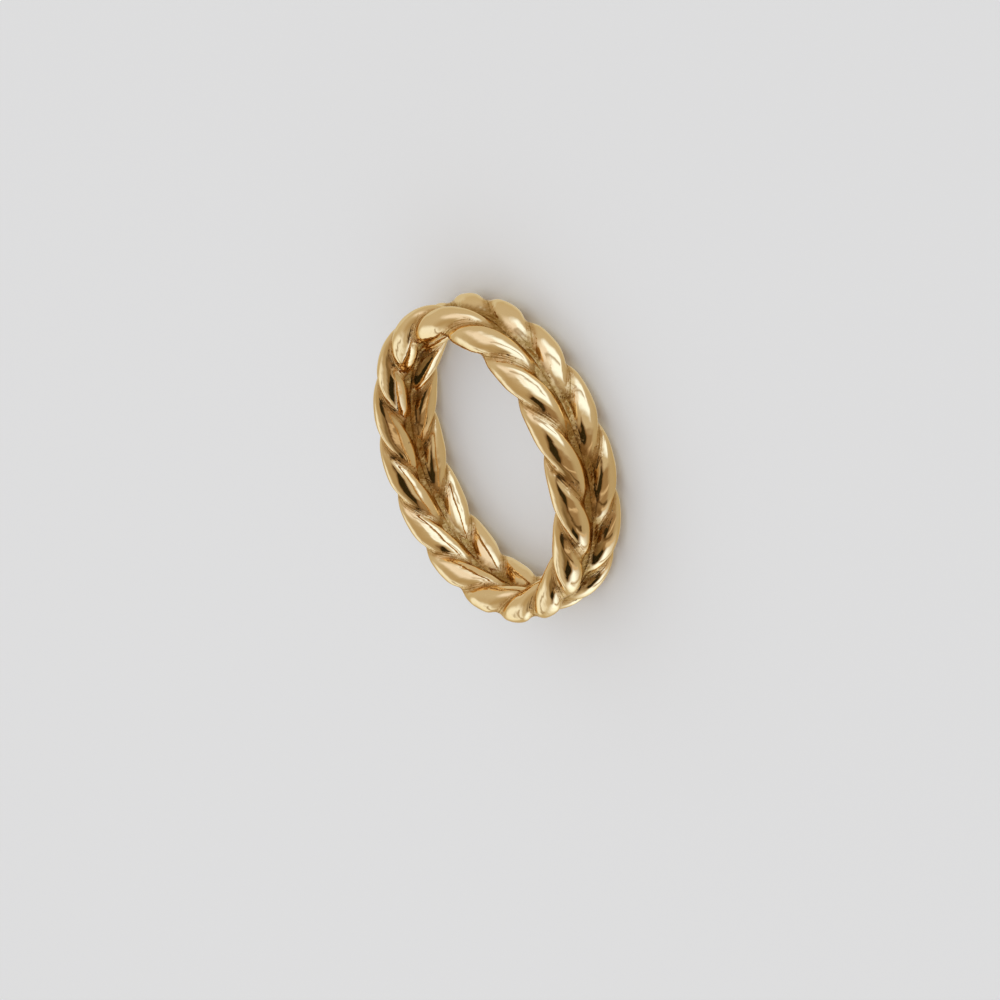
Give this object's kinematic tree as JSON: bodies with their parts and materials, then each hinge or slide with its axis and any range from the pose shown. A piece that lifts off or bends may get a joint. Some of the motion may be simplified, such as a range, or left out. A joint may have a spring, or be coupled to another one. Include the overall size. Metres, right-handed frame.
{
  "type": "braided band ring",
  "caption": "Finger ring whose band is two ropes side by side, twisted in opposite senses so that their crests form a plait of V shapes.",
  "frame": {"origin": "centre of the finger hole, at the height of the lower edge of the band, on which the ring lies", "axes": "+Z along the axis of the finger hole, up from the surface that the ring lies on; +X and +Y across the hole"},
  "size_m": [0.0222, 0.0222, 0.0049],
  "materials": {
    "gold": "polished yellow gold"
  },
  "bodies": {
    "root": {"upper_strand": "gold", "lower_strand": "gold"}
  },
  "joints": []
}
